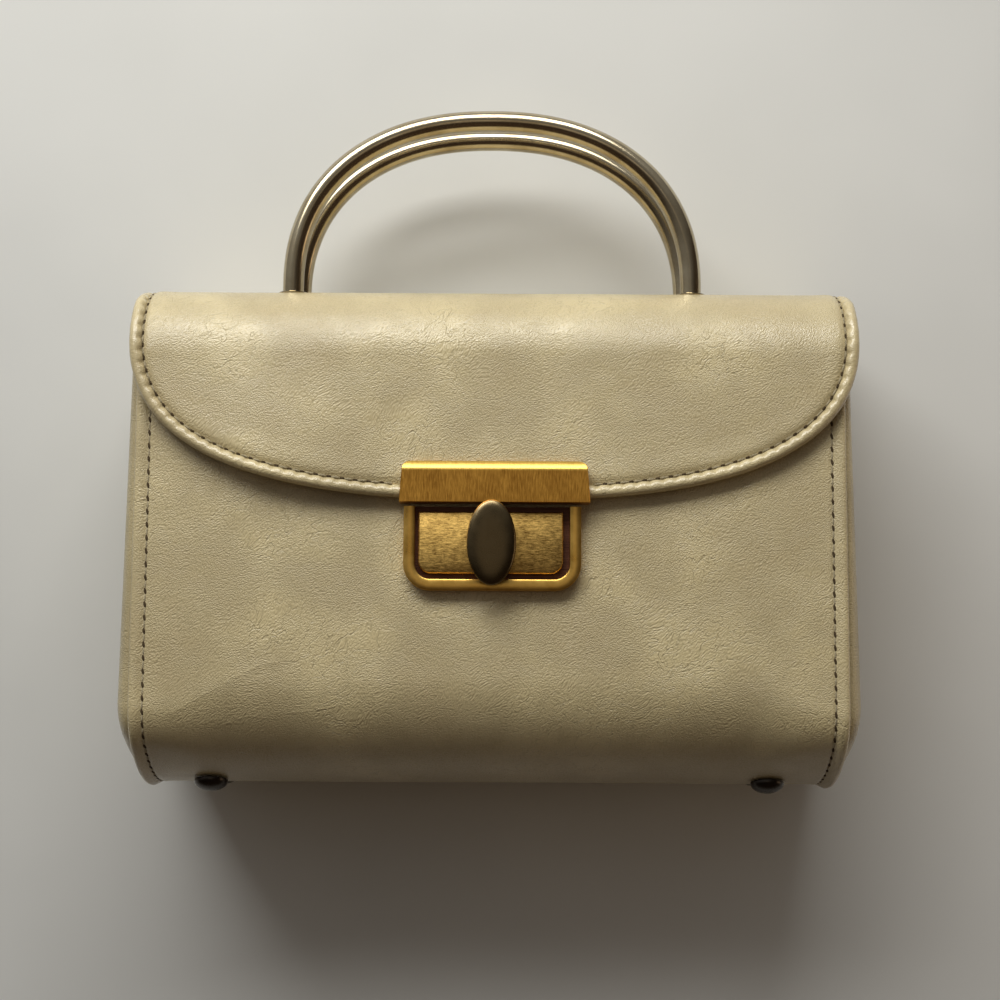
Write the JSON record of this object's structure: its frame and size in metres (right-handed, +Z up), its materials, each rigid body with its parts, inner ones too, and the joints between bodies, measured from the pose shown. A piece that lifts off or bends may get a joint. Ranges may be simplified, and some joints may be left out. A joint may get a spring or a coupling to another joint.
{
  "type": "box purse",
  "caption": "Boxy hand purse with a rounded front flap, a metal turn lock and arched rod handles, lying on its back.",
  "frame": {"origin": "under the middle of the whole purse, on the surface that its back lies on", "axes": "+X to the right as seen from the front, +Y towards the handles, +Z up out of the front panel"},
  "size_m": [0.208, 0.2014, 0.0786],
  "materials": {
    "panel_leather": "cream leathercloth with a fine wrinkle grain, slightly glossy",
    "end_leather": "cream leathercloth, a little darker",
    "brushed_brass": "brushed gold-toned metal",
    "aged_bronze": "dark worn bronze",
    "polished_brass": "polished pale gold-toned metal"
  },
  "bodies": {
    "purse": {"body_wrap": "panel_leather", "end_left": "end_leather", "end_right": "end_leather", "flap": "panel_leather", "flap_plate": "brushed_brass", "lock_base": "brushed_brass", "lock_panel": "brushed_brass", "handle_front": "polished_brass", "handle_back": "polished_brass", "foot_front_left": "aged_bronze", "foot_front_right": "aged_bronze", "foot_back_left": "aged_bronze", "foot_back_right": "aged_bronze"},
    "knob": {"turn_knob": "aged_bronze"}
  },
  "joints": [
    {"name": "knob_turn", "type": "hinge", "parent": "purse", "child": "knob", "pos_m": [0.0004, -0.02869, 0.06823], "axis": [0, 0.0743, 0.9972], "range_deg": [0, 90]}
  ]
}
